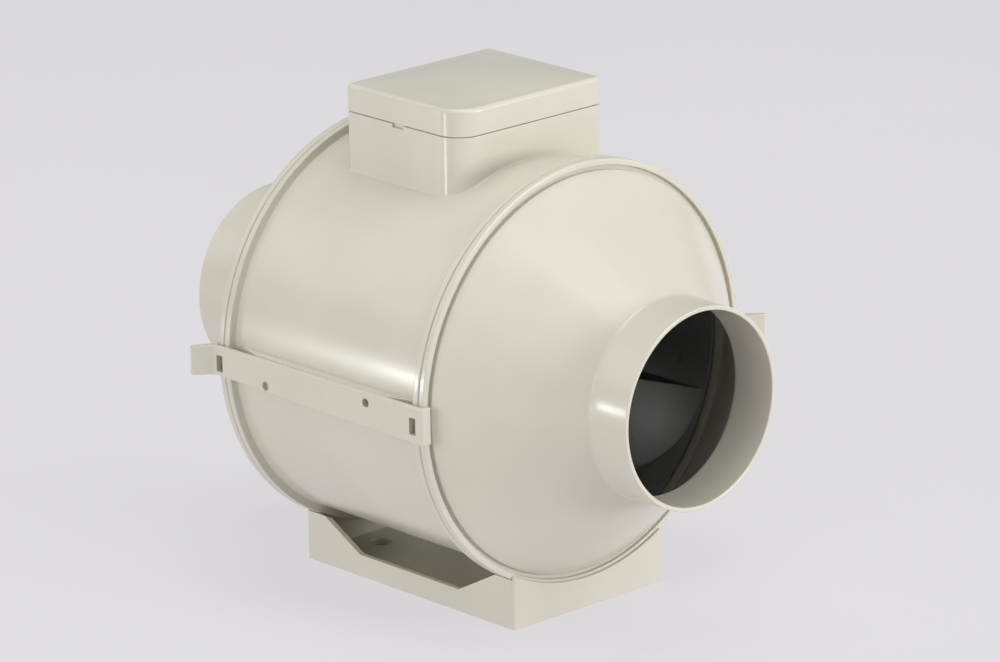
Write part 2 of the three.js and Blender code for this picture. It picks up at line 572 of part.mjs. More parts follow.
// A saddle under the capacitor with two springy arms that grip it.
function capacitorClip() {
  const inner = CAPACITOR_RADIUS + GAP;
  const outer = inner + 1.5;
  const arch = rodX(outer, 8, 18, { y: CAPACITOR_Y, z: CAPACITOR_Z, sides: SMALL })
    .subtract(rodX(inner, 7, 19, { y: CAPACITOR_Y, z: CAPACITOR_Z, sides: SMALL }))
    .subtract(box(7, 19, CAPACITOR_Y - 20, CAPACITOR_Y + 20, CAPACITOR_Z + 5, CAPACITOR_Z + 20));
  const foot = box(8, 18, CAPACITOR_Y - 9, CAPACITOR_Y + 9, CASING_RADIUS + 0.1, CAPACITOR_Z - inner - 0.4);
  return arch.add(foot);
}
addPart('capacitor_clip', capacitorClip(), STEEL);

// ---- Cable gland, grommet and motor lead -------------------------------------------------------
const GLAND_BORE = 3.8;
const glandPlace = [GLAND_X, 0, GLAND_Z];
const wallOut = BOX_Y[1];
const wallIn = wallOut - BOX_WALL;
addPart('cable_gland', turned([
  [GLAND_BORE, wallIn - 4.5], [GLAND_THREAD, wallIn - 4.5], [GLAND_THREAD, wallOut + GAP],
  [8.3, wallOut + GAP], [8.3, wallOut + 4], [6.6, wallOut + 4], [6.6, wallOut + 10], [GLAND_BORE, wallOut + 10],
], SMALL).translate(glandPlace), DARK_PLASTIC);
addPart('cable_gland_nut', turned([
  [6.9, wallOut + 4.4], [8.2, wallOut + 4.4], [8.2, wallOut + 10.5], [6.4, wallOut + 14],
  [GLAND_BORE, wallOut + 14], [GLAND_BORE, wallOut + 11], [6.9, wallOut + 10.4],
], SMALL).translate(glandPlace), DARK_PLASTIC);
const locknut = rod(7.9, wallIn - 3.3, wallIn - GAP, { sides: 6 })
  .subtract(rod(GLAND_THREAD + GAP, wallIn - 5, wallIn + 1, { sides: SMALL }));
addPart('cable_gland_locknut', locknut.translate(glandPlace), DARK_PLASTIC);

const LEAD_RADIUS = 2.4;
const grommetOutline = [
  [LEAD_RADIUS + 0.4, CASING_BORE - 2.2], [7, CASING_BORE - 2.2], [7, CASING_BORE - 0.6],
  [GROMMET_HOLE - GAP, CASING_BORE - 0.6], [GROMMET_HOLE - GAP, CASING_RADIUS + GAP],
  [7, CASING_RADIUS + GAP], [7, CASING_RADIUS + 1.6], [LEAD_RADIUS + 0.4, CASING_RADIUS + 1.6],
];
addPart('lead_grommet', turned(grommetOutline, SMALL).rotate([90, 0, 0]).translate([0, LEAD_Y, 0]), RUBBER);

// The motor lead runs up from the windings, through the grommet and over to the terminals.
function motorLead() {
  const blockFace = BLOCK_Y[1] + GAP;
  const path = new THREE.CatmullRomCurve3([
    [0, LEAD_Y, 34.5], [0, LEAD_Y, 50], [0, LEAD_Y, 70], [0, LEAD_Y, 90], [0, LEAD_Y, 98],
    [0, LEAD_Y + 0.4, 103], [0, LEAD_Y - 0.8, 106.6], [0, LEAD_Y - 3.6, 107.8], [0, blockFace, 108],
  ].map((point) => new THREE.Vector3(...point)), false, 'centripetal');
  const section = new THREE.Shape(Array.from({ length: 8 }, (_, i) => {
    const angle = i * Math.PI / 4;
    return new THREE.Vector2(LEAD_RADIUS * Math.cos(angle), LEAD_RADIUS * Math.sin(angle));
  }));
  return solid(new THREE.ExtrudeGeometry(section, { steps: 26, extrudePath: path }));
}
addPart('motor_lead', motorLead(), DARK_PLASTIC);

export default group;
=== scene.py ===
import json
import math
import bmesh
import bpy
from mathutils import Matrix, Vector


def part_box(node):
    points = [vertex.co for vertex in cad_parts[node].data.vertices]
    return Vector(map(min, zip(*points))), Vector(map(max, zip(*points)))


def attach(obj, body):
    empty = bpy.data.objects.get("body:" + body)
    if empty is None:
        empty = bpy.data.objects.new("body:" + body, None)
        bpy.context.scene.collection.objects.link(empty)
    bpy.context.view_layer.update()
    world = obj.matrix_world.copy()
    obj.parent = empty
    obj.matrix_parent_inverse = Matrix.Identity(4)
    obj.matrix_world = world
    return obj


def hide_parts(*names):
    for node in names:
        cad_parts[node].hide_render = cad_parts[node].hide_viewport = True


# In-line mixed-flow extractor fan. Shapes are drawn in millimetres from the duct axis: x to the
# right, y along the duct, z up. The outlet is at -Y. piece() turns them into metres.
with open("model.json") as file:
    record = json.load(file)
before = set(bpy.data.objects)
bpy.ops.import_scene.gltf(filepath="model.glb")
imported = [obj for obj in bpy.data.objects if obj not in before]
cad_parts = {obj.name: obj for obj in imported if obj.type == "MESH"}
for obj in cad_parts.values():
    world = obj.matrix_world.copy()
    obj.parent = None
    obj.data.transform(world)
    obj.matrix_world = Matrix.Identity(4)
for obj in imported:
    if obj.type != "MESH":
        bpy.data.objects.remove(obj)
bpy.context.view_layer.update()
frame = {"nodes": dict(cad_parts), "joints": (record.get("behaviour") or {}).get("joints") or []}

MM = 0.001
JOINTS = {joint["name"]: joint for joint in frame["joints"]}
AXIS = Vector((0, 0, JOINTS["impeller_spin"]["pos_m"][2])) / MM


def span(node):
    """A CAD node's lowest and highest corner, in millimetres from the duct axis."""
    low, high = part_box(node)
    return low / MM - AXIS, high / MM - AXIS


# ---- Sizes ---------------------------------------------------------------------------------------
ROUND = 192                                  # facets round the casing and cones
SHARP_ANGLE = 32                             # degrees between faces that keeps an edge crisp
cone_low, cone_high = span("inlet_cone")
casing_high = span("casing")[1]
lid_low, lid_high = span("terminal_box_lid")
bracket_low, bracket_high = span("base_bracket")

HALF_LENGTH = cone_high.y
RING_RADIUS = cone_high.x
MATING_FACE = cone_low.y                     # where a cone's flange meets the casing
FLANGE = 3.6
RING_FACE = MATING_FACE + FLANGE
GAP = 0.3
WALL = 2.2
SPIGOT_RADIUS = 49
CONE_ROOT = 97.6                             # cone radius at its flange
CONE_TOP = 50.2                              # cone radius at CONE_END
CONE_END = 125
GROOVE_OUTER = 99.9
GROOVE_DEPTH = 2.2
CASING_RADIUS = 98.5
CASING_BORE = 96.2
CASING_FACE = casing_high.y
BODY_END = CASING_FACE - FLANGE              # where the casing's flange rises
SEAL_INNER = 98.4
SEAL_OUTER = 100.6

BOX_HALF_X = lid_high.x
BOX_Y = (lid_low.y, lid_high.y)
BOX_CORNERS = (3, 3, 13, 3)                  # radii from the +X +Y corner, anticlockwise from above
BOX_WALL = 2.3
BOX_SEAM = casing_high.z
LID_EDGE = 129.3
LID_TOP = lid_high.z
LID_LIP = BOX_SEAM + GAP - lid_low.z

PAD_FACE = casing_high.x
PAD_HALF_LENGTH = 62
PAD_RAMP = 17
PAD_Z = 6.5
CLAMP_INNER = PAD_FACE + GAP
CLAMP_OUTER = CLAMP_INNER + 2.6
CLAMP_PROFILE = ((-78, -10.8, 7), (85, -8.3, 5.8))   # station, lower edge, upper edge
CLAMP_HOLES = [(35, -6.3), (-35.8, 1.6)]     # (y, z) on the left clamp
CLAMP_WINDOW = (65.8, 70.1, -6.6, 1.6)       # y and z limits, at both ends
HOOK_TIP = 100.7
HOOK_FACE = RING_FACE + GAP
HOOK_END = HOOK_FACE + 2.7

BRACKET_WALL = 2.6
BRACKET_FLOOR = 4
BRACKET_TOP = -84
BRACKET_SCREWS = (15, 57)                    # screw hole places, either side of the middle
WINDOW_PROFILE = [(-35, -105, 1.2), (35, -105, 1.2), (72, -85), (-72, -85)]
SADDLE_RADIUS = 101.3

CUP_RADIUS = 48
CUP_MOUTH = -3.5
CUP_FLOOR = -57.5
VANE_COUNT = 7
VANE_PITCH = 360 / VANE_COUNT
VANE_PATH = [(0, -60), (9, -60.3), (17, -57), (24, -50), (31, -41.5), (40, -31), (50, -19)]
VANE_TRAILING = -19                          # first vane's trailing edge, degrees
VANE_RING = (93.6, 95.8)
VANE_RING_END = -64
LUG_FACE = -12
LUG_RADIUS = 90.5
LUG_HALF = 4.5
LUG_ANGLES = [VANE_TRAILING - VANE_PATH[-1][0] + (gap + 0.5) * VANE_PITCH for gap in (0, 2, 5)]
MOTOR_SCREW_RADIUS = 40.2
MOTOR_SCREW_ANGLES = (30, 150, 270)
BLADE_COUNT = 7
BLADE_GAP = 2.2                              # air between blade tips and casing
HUB_START, HUB_END = 60, 82                  # ends of the hub's boss and its bush
NUT_START, NUT_END = 83.8, 88.4
BLADE_PATH = [(0, 102, 24), (9, 92, 29), (19, 81, 35.5), (30, 69, 40), (41, 57, 43.6), (52, 46, 45.2)]
LEAD_Y = -5
LEAD_RADIUS = 2.4
GLAND_X, GLAND_Z = -20, 105.6
TERMINAL_XS = (-15, -5, 5, 15)

CONE_SLOPE = (CONE_ROOT - CONE_TOP) / (CONE_END - RING_FACE)


def cone_outer(y):
    return CONE_ROOT - (y - RING_FACE) * CONE_SLOPE


def cone_inner(y):
    return cone_outer(y) - WALL * math.hypot(1, CONE_SLOPE)


# ---- Outlines ------------------------------------------------------------------------------------
def rounded(outline, step=15):
    """The points of a closed outline. A corner's third value, where it has one, is its radius."""
    points = []
    for i, corner in enumerate(outline):
        here = Vector(corner[:2])
        if len(corner) < 3:
            points.append(here)
            continue
        back = (Vector(outline[i - 1][:2]) - here).normalized()
        ahead = (Vector(outline[(i + 1) % len(outline)][:2]) - here).normalized()
        half = back.angle(ahead) / 2
        reach = corner[2] / math.tan(half)
        centre = here + (back + ahead).normalized() * (corner[2] / math.sin(half))
        start = here + back * reach - centre
        end = here + ahead * reach - centre
        sweep = math.pi - 2 * half
        count = max(3, math.ceil(math.degrees(sweep) / step))
        for s in range(count + 1):
            t = s / count
            mix = start * math.sin((1 - t) * sweep) + end * math.sin(t * sweep)
            points.append(centre + mix / math.sin(sweep))
    return points


def divided(points, longest):
    """The same outline with its long stretches cut into shorter ones."""
    result = []
    for i, here in enumerate(points):
        ahead = points[(i + 1) % len(points)]
        count = max(1, math.ceil((ahead - here).length / longest))
        result += [here.lerp(ahead, s / count) for s in range(count)]
    return result


def compass(degrees):
    return Vector((math.cos(math.radians(degrees)), math.sin(math.radians(degrees))))


def box_loop(inset=0):
    """The terminal box's outline pulled in by an inset, anticlockwise seen from above."""
    arcs = []
    signs = [(1, 1), (-1, 1), (-1, -1), (1, -1)]
    for quarter, (corner, (sign_x, sign_y)) in enumerate(zip(BOX_CORNERS, signs)):
        radius = max(corner - inset, 0.5)
        x = sign_x * (BOX_HALF_X - inset - radius)
        y = BOX_Y[1] - inset - radius if sign_y > 0 else BOX_Y[0] + inset + radius
        arcs.append([Vector((x, y)) + radius * compass(90 * (quarter + s / 8)) for s in range(9)])
    points = []
    for i, arc in enumerate(arcs):
        ahead = arcs[(i + 1) % 4][0]
        points += arc + [arc[-1].lerp(ahead, s / 20) for s in range(1, 20)]
    return points


def flowing(points, parts=5):
    """A smooth curve through points of any size, as a list of tuples."""
    result = []
    for i in range(len(points) - 1):
        around = [points[max(i - 1, 0)], points[i], points[i + 1], points[min(i + 2, len(points) - 1)]]
        for t in [s / parts for s in range(parts)]:
            result.append(tuple(
                0.5 * (2 * b + (c - a) * t + (2 * a - 5 * b + 4 * c - d) * t ** 2
                       + (3 * b - a - 3 * c + d) * t ** 3) for a, b, c, d in zip(*around)))
    return result + [tuple(points[-1])]


# ---- Meshes --------------------------------------------------------------------------------------
def mesh_object(name, vertices, faces):
    mesh = bpy.data.meshes.new(name)
    mesh.from_pydata([tuple(v) for v in vertices], [], faces)
    shaped = bmesh.new()
    shaped.from_mesh(mesh)
    bmesh.ops.remove_doubles(shaped, verts=shaped.verts, dist=1e-5)
    bmesh.ops.recalc_face_normals(shaped, faces=shaped.faces)
    shaped.to_mesh(mesh)
    shaped.free()
    made = bpy.data.objects.new(name, mesh)
    bpy.context.scene.collection.objects.link(made)
    return made


def lofted(name, loops, joined=False):
    """A closed skin through loops of as many points each, capped at its ends or joined round."""
    count = len(loops[0])
    vertices = [v for loop in loops for v in loop]
    faces = []
    for s in range(len(loops) if joined else len(loops) - 1):
        here, ahead = s * count, (s + 1) % len(loops) * count
        for k in range(count):
            j = (k + 1) % count
            faces.append((here + k, here + j, ahead + j, ahead + k))
    if not joined:
        faces.append(tuple(range(count)))
        faces.append(tuple(range(len(vertices) - count, len(vertices))))
    return mesh_object(name, vertices, faces)


def turned(name, outline, facets=ROUND, axis="Y", at=(0, 0, 0)):
    """A body of revolution from a closed outline of (radius, station) points."""
    loops = []
    for s in range(facets):
        angle = 2 * math.pi * s / facets
        c, d = math.cos(angle), math.sin(angle)
        if axis == "Y":
            loop = [Vector((r * c, y, r * d)) for r, y in outline]
        elif axis == "X":
            loop = [Vector((y, r * c, r * d)) for r, y in outline]
        else:
            loop = [Vector((r * c, r * d, y)) for r, y in outline]
        loops.append([v + Vector(at) for v in loop])
    return lofted(name, loops, joined=True)


def prism(name, outline, low, high, axis="Z"):
    """An outline drawn in the plane across an axis: XY for Z, YZ for X, XZ for Y."""
    place = {"Z": lambda p, h: Vector((p[0], p[1], h)),
             "X": lambda p, h: Vector((h, p[0], p[1])),
             "Y": lambda p, h: Vector((p[0], h, p[1]))}[axis]
    return lofted(name, [[place(p, h) for p in outline] for h in (low, high)])


def block(name, low, high):
    corners = [(low[0], low[1]), (high[0], low[1]), (high[0], high[1]), (low[0], high[1])]
    return prism(name, corners, low[2], high[2])


def settle(shape):
    """Applies the modifiers of a shape to its mesh."""
    bpy.context.view_layer.update()
    graph = bpy.context.evaluated_depsgraph_get()
    mesh = bpy.data.meshes.new_from_object(shape.evaluated_get(graph))
    shape.modifiers.clear()
    shape.data = mesh
    return shape


def combine(shape, others, operation="UNION"):
    """Joins other shapes to one, or cuts them out of it, and removes them."""
    for other in others:
        cut = shape.modifiers.new("join", "BOOLEAN")
        cut.operation = operation
        cut.solver = "EXACT"
        cut.object = other
    settle(shape)
    for other in others:
        bpy.data.objects.remove(other)
    return shape


def carve(shape, cutters):
    return combine(shape, cutters, "DIFFERENCE")


def soften(shape, width, segments=3, angle=35):
    """Rounds the sharp edges of a shape."""
    bevel = shape.modifiers.new("edges", "BEVEL")
    bevel.width = width
    bevel.segments = segments
    bevel.limit_method = "ANGLE"
    bevel.angle_limit = math.radians(angle)
    bevel.miter_outer = "MITER_ARC"
    return settle(shape)


def hole(radius, start, end, axis, at, mouth=0.4, facets=48):
    """A cutter for a round hole with a rounded mouth at both ends."""
    flare = 0.1
    wide = radius + mouth
    outline = [(0, start - 1), (wide + flare, start - 1), (wide + flare, start - flare)]
    for side, face in ((1, start), (-1, end)):
        arc = [(radius + mouth * (1 - math.sin(math.radians(a))),
                face + side * mouth * (1 - math.cos(math.radians(a)))) for a in range(10, 91, 16)]
        outline += arc if side == 1 else arc[::-1]
    outline += [(wide + flare, end + flare), (wide + flare, end + 1), (0, end + 1)]
    return turned("cutter", outline, facets, axis, at)


def half_turn(shape):
    """Turns a shape half round the upright line through the middle."""
    shape.data.transform(Matrix.Rotation(math.pi, 4, "Z"))
    return shape


def about_axis(shape, degrees):
    """Turns a shape about the duct axis, from +X towards +Z."""
    shape.data.transform(Matrix.Rotation(-math.radians(degrees), 4, "Y"))
    return shape


def smooth(mesh):
    mesh.shade_smooth()
    mesh.set_sharp_from_angle(angle=math.radians(SHARP_ANGLE))


def piece(shape, material, body, slot, *nodes):
    """Finishes a shape as a piece that rides on a body and stands for CAD nodes."""
    shape.data.transform(Matrix.Scale(MM, 4) @ Matrix.Translation(AXIS))
    smooth(shape.data)
    even = shape.modifiers.new("normals", "WEIGHTED_NORMAL")
    even.keep_sharp = True
    even.mode = "FACE_AREA"
    shape.data.materials.clear()
    shape.data.materials.append(material)
    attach(shape, body)
    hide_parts(*nodes)


# ---- Materials -----------------------------------------------------------------------------------
class Look:
    """A procedural material, built from noise in the object's own coordinates."""

    def __init__(self, name, metallic=0.0):
        self.material = bpy.data.materials.new(name)
        self.material.use_nodes = True
        self.tree = self.material.node_tree
        self.shader = self.tree.nodes["Principled BSDF"]
        self.shader.inputs["Metallic"].default_value = metallic
        self.shader.inputs["IOR"].default_value = 1.5
        self.coordinates = self.tree.nodes.new("ShaderNodeTexCoord").outputs["Object"]
        self.height = None

    def node(self, kind, **settings):
        made = self.tree.nodes.new(kind)
        for key, value in settings.items():
            setattr(made, key, value)
        return made

    def link(self, source, target):
        self.tree.links.new(source, target)

    def noise(self, scale, detail=3, stretch=(1, 1, 1)):
        """Noise with its scale in features a metre."""
        mapping = self.node("ShaderNodeMapping")
        mapping.inputs["Scale"].default_value = stretch
        noise = self.node("ShaderNodeTexNoise")
        noise.inputs["Scale"].default_value = scale
        noise.inputs["Detail"].default_value = detail
        self.link(self.coordinates, mapping.inputs["Vector"])
        self.link(mapping.outputs["Vector"], noise.inputs["Vector"])
        return noise.outputs["Fac"]

    def wave(self, scale, direction, distortion=0.0):
        wave = self.node("ShaderNodeTexWave", bands_direction=direction)
        wave.inputs["Scale"].default_value = scale
        wave.inputs["Distortion"].default_value = distortion
        self.link(self.coordinates, wave.inputs["Vector"])
        return wave.outputs["Fac"]

    def colour(self, field, dark, light, low=0.35, high=0.65):
        ramp = self.node("ShaderNodeValToRGB")
        ramp.color_ramp.elements[0].position = low
        ramp.color_ramp.elements[0].color = (*dark, 1)
        ramp.color_ramp.elements[1].position = high
        ramp.color_ramp.elements[1].color = (*light, 1)
        self.link(field, ramp.inputs["Fac"])
        self.link(ramp.outputs["Color"], self.shader.inputs["Base Color"])

    def roughness(self, field, low, high):
        span_map = self.node("ShaderNodeMapRange")
        span_map.inputs["To Min"].default_value = low
        span_map.inputs["To Max"].default_value = high
        self.link(field, span_map.inputs["Value"])
        self.link(span_map.outputs["Result"], self.shader.inputs["Roughness"])

    def bump(self, field, depth, strength=1.0):
        """Relief with its depth in metres, on top of any relief before it."""
        bump = self.node("ShaderNodeBump")
        bump.inputs["Distance"].default_value = depth
        bump.inputs["Strength"].default_value = strength
        self.link(field, bump.inputs["Height"])
        if self.height is not None:
            self.link(self.height, bump.inputs["Normal"])
        self.height = bump.outputs["Normal"]
        self.link(self.height, self.shader.inputs["Normal"])


def moulded(name, dark, light, roughness, grain=0.00002):
    """Injection-moulded plastic: slow colour drift, uneven gloss, sink and a fine grain."""
    look = Look(name)
    look.colour(look.noise(14), dark, light)
    look.roughness(look.noise(55, 5), *roughness)
    look.bump(look.noise(9, 1), 0.0012, 0.35)
    look.bump(look.noise(900, 2), grain, 0.5)
    return look.material


def metal(name, dark, light, roughness, grain_scale, depth, stretch=(1, 1, 1)):
    look = Look(name, metallic=1.0)
    look.colour(look.noise(60, 4), dark, light)
    look.roughness(look.noise(180, 4, stretch), *roughness)
    look.bump(look.noise(grain_scale, 3, stretch), depth, 0.6)
    return look.material


def laminated():
    """Stamped steel sheets, stacked along the duct axis."""
    look = Look("laminated_steel", metallic=1.0)
    sheets = look.wave(300, "Y", 0.4)
    look.colour(sheets, (0.20, 0.20, 0.21), (0.52, 0.53, 0.55), 0.1, 0.6)
    look.roughness(look.noise(200, 4), 0.32, 0.55)
    look.bump(sheets, 0.0001, 0.8)
    return look.material


def wound():
    """Enamelled wire in close turns."""
    look = Look("wound_copper", metallic=1.0)
    turns = look.wave(420, "DIAGONAL", 1.5)
    look.colour(turns, (0.20, 0.060, 0.022), (0.62, 0.26, 0.10), 0.05, 0.6)
    look.roughness(look.noise(150, 3), 0.22, 0.42)
    look.bump(turns, 0.0003, 0.9)
    return look.material


SHELL = moulded("shell_plastic", (0.600, 0.578, 0.490), (0.640, 0.618, 0.528), (0.17, 0.27))
VANE = moulded("vane_plastic", (0.230, 0.235, 0.228), (0.280, 0.285, 0.278), (0.24, 0.36))
BLACK = moulded("black_plastic", (0.017, 0.017, 0.018), (0.030, 0.030, 0.031), (0.30, 0.44))
WHITE = moulded("white_plastic", (0.70, 0.70, 0.67), (0.77, 0.77, 0.74), (0.32, 0.44))
RUBBER = moulded("seal_rubber", (0.014, 0.014, 0.014), (0.026, 0.026, 0.026), (0.62, 0.82), 0.00006)
STEEL = metal("ground_steel", (0.42, 0.43, 0.45), (0.58, 0.59, 0.61), (0.22, 0.38), 1500, 0.00002,
              (1, 0.08, 1))
ZINC = metal("zinc_plate", (0.52, 0.54, 0.58), (0.68, 0.69, 0.71), (0.26, 0.44), 700, 0.00003)
ALUMINIUM = metal("cast_aluminium", (0.50, 0.51, 0.52), (0.62, 0.63, 0.64), (0.38, 0.58), 500,
                  0.00012)
BRASS = metal("turned_brass", (0.50, 0.34, 0.10), (0.66, 0.48, 0.18), (0.20, 0.36), 1200, 0.00002)
LAMINATED = laminated()
COPPER = wound()


# ---- Cones and spigots ---------------------------------------------------------------------------
def clamp_pockets(ends=(-1, 1)):
    """Cutters for the pockets that open behind the clamps' windows."""
    near, far, low, high = CLAMP_WINDOW
    pockets = []
    for side in (-1, 1):
        for end in ends:
            x = sorted((side * (RING_RADIUS - 3.4), side * (RING_RADIUS + 1)))
            y = sorted((end * near, end * far))
            pockets.append(block("pocket", (x[0], y[0], low), (x[1], y[1], high)))
    return pockets


def cone(name):
    """The inlet cone, its spigot and its grooved flange in one moulding, at +Y."""
    bore = SPIGOT_RADIUS - WALL
    junction = CONE_END + (CONE_TOP - SPIGOT_RADIUS) / CONE_SLOPE
    inside = CONE_END + (cone_inner(CONE_END) - bore) / CONE_SLOPE
    outline = rounded([
        (SPIGOT_RADIUS, HALF_LENGTH, 0.7), (SPIGOT_RADIUS, junction, 4),
        (CONE_ROOT, RING_FACE, 0.4), (CONE_ROOT, RING_FACE - GROOVE_DEPTH, 0.4),
        (GROOVE_OUTER, RING_FACE - GROOVE_DEPTH, 0.4), (GROOVE_OUTER, RING_FACE, 0.5),
        (RING_RADIUS, RING_FACE, 0.9), (RING_RADIUS, MATING_FACE, 0.9),
        (CASING_BORE, MATING_FACE, 0.3), (cone_inner(RING_FACE), RING_FACE, 3),
        (bore, inside, 3), (bore, HALF_LENGTH, 0.7),
    ], step=9)
    return carve(turned(name, divided(outline, 9)), clamp_pockets(ends=(1,)))


piece(cone("inlet_cone_moulding"), SHELL, "housing", "shell_plastic", "inlet_cone")
piece(half_turn(cone("outlet_cone_moulding")), SHELL, "housing", "shell_plastic", "outlet_cone")


# ---- Casing --------------------------------------------------------------------------------------
def casing_shell():
    half = [(SEAL_OUTER, CASING_FACE), (SEAL_OUTER, CASING_FACE - 1), (SEAL_INNER, CASING_FACE - 1),
            (SEAL_INNER, CASING_FACE), (CASING_BORE, CASING_FACE, 0.3)]
    outer = [(RING_RADIUS, CASING_FACE, 0.9), (RING_RADIUS, BODY_END, 0.6),
             (CASING_RADIUS, BODY_END, 0.9)]
    top = outer[::-1] + half
    bottom = [(corner[0], -corner[1], *corner[2:]) for corner in top[::-1]]
    return turned("casing_moulding", divided(rounded(top + bottom), 6))


def box_walls():
    """The terminal box's walls, with a fillet where they meet the casing."""
    fillet = 0.8
    rim = 0.5
    buried = 1.2

    def level(inset, height):
        return [Vector((*point, height)) for point in box_loop(inset)]

    def on_casing(inset, height):
        return [Vector((*point, math.sqrt(CASING_RADIUS ** 2 - point.x ** 2) + height))
                for point in box_loop(inset)]

    loops = [on_casing(-fillet - 0.2, -buried), on_casing(-fillet - 0.2, -0.08)]
    for degrees in range(10, 91, 10):
        turn = compass(degrees)
        loops.append(on_casing(-fillet * (1 - turn.y), fillet * (1 - turn.x)))
    loops.append([a.lerp(b, 0.5) for a, b in zip(loops[-1], level(0, BOX_SEAM - rim))])
    for inset, height in rounded([(0, BOX_SEAM - 9), (0, BOX_SEAM, rim), (BOX_WALL, BOX_SEAM, rim),
                                  (BOX_WALL, BOX_SEAM - 9)])[1:-1]:
        loops.append(level(inset, height))
    loops.append(on_casing(BOX_WALL, -buried))
    return lofted("box_walls", loops, joined=True)


def clamp_pad():
    root = CASING_BORE + 0.8
    start = CASING_RADIUS - 0.5
    ramped = PAD_HALF_LENGTH - PAD_RAMP
    outline = [(root, -PAD_HALF_LENGTH), (start, -PAD_HALF_LENGTH), (PAD_FACE, -ramped),
               (PAD_FACE, ramped), (start, PAD_HALF_LENGTH), (root, PAD_HALF_LENGTH)]
    return soften(prism("pad", outline, -PAD_Z, PAD_Z), 0.35, 2, 8)


def casing_lug(angle):
    lug = block("lug", (87, LUG_FACE, -LUG_HALF), (97.2, LUG_FACE + 9, LUG_HALF))
    soften(lug, 0.5)
    carve(lug, [hole(1.5, LUG_FACE, LUG_FACE + 9, "Y", (LUG_RADIUS, 0, 0), 0.3)])
    return about_axis(lug, angle)


def terminal_post(side):
    return soften(block("post", (side * 18 - 3, -27, 97), (side * 18 + 3, -19, 100.1)), 0.4)


def make_casing():
    body = casing_shell()
    combine(body, [box_walls(), clamp_pad(), half_turn(clamp_pad()), terminal_post(-1), terminal_post(1),
                   *[casing_lug(angle) for angle in LUG_ANGLES]])
    pilots = []
    for side in (-1, 1):
        for y, z in CLAMP_HOLES:
            ends = sorted((side * (PAD_FACE + 0.2), side * (PAD_FACE - 3.7)))
            pilots.append(turned("pilot", [(0, ends[0]), (2, ends[0]), (2, ends[1]), (0, ends[1])], 32,
                                 "X", (0, -side * y, z)))
    gland = hole(6.8, BOX_Y[1] - BOX_WALL, BOX_Y[1], "Y", (GLAND_X, 0, GLAND_Z), 0.3)
    lead = hole(5, CASING_BORE, CASING_RADIUS, "Z", (0, LEAD_Y, 0), 0.3)
    notch = block("notch", (-BOX_HALF_X - 1, 0.5, BOX_SEAM - 1.8), (-BOX_HALF_X + 1.2, 8, BOX_SEAM + 1))
    return carve(body, [*pilots, *clamp_pockets(), gland, lead, notch])


piece(make_casing(), SHELL, "housing", "shell_plastic", "casing")


# ---- Seals ---------------------------------------------------------------------------------------
def seal(name, side):
    low, high = SEAL_INNER + GAP, SEAL_OUTER - GAP
    ends = (CASING_FACE - 1 + GAP, CASING_FACE)
    ring = turned(name, rounded([(low, ends[0], 0.3), (high, ends[0], 0.3), (high, ends[1], 0.3),
                                 (low, ends[1], 0.3)]))
    return ring if side > 0 else half_turn(ring)


for place, side in (("inlet", 1), ("outlet", -1)):
    piece(seal(f"{place}_seal_ring", side), RUBBER, "housing", "seal_rubber", f"{place}_seal")


# ---- Terminal box lid ----------------------------------------------------------------------------
def make_lid():
    base = BOX_SEAM + GAP
    hollow = BOX_WALL + 2
    lip = BOX_WALL + GAP
    ceiling = LID_EDGE - 2.6
    edge = 1.9
    middle = Vector((0, sum(BOX_Y) / 2))

    def level(inset, height, scale=1.0):
        return [Vector((*(middle + (point - middle) * scale), height)) for point in box_loop(inset)]

    def crowned(point, scale):
        across = (point.x / (BOX_HALF_X - edge)) ** 2
        along = ((point.y - middle.y) / ((BOX_Y[1] - BOX_Y[0]) / 2 - edge)) ** 2
        rise = max(0, 1 - across) * max(0, 1 - along) * (1 - scale ** 12)
        return point + Vector((0, 0, (LID_TOP - LID_EDGE) * rise))

    loops = [level(hollow, ceiling, scale) for scale in (0.01, 0.5, 0.97)]
    loops.append(level(hollow, ceiling - 1))
    section = rounded([(hollow, ceiling - 2), (hollow, base - LID_LIP, 0.3), (lip, base - LID_LIP, 0.5),
                       (lip, base), (0, base, 0.4), (0, LID_EDGE, edge), (8, LID_EDGE + 0.01)], 12)
    loops += [level(inset, height) for inset, height in section[:-1]]
    for s in range(1, 25):
        scale = 1 - s / 24 * 0.99
        loops.append([crowned(point, scale) for point in level(edge, LID_EDGE, scale)])
    return lofted("terminal_box_lid_moulding", loops)


piece(make_lid(), SHELL, "lid", "shell_plastic", "terminal_box_lid")


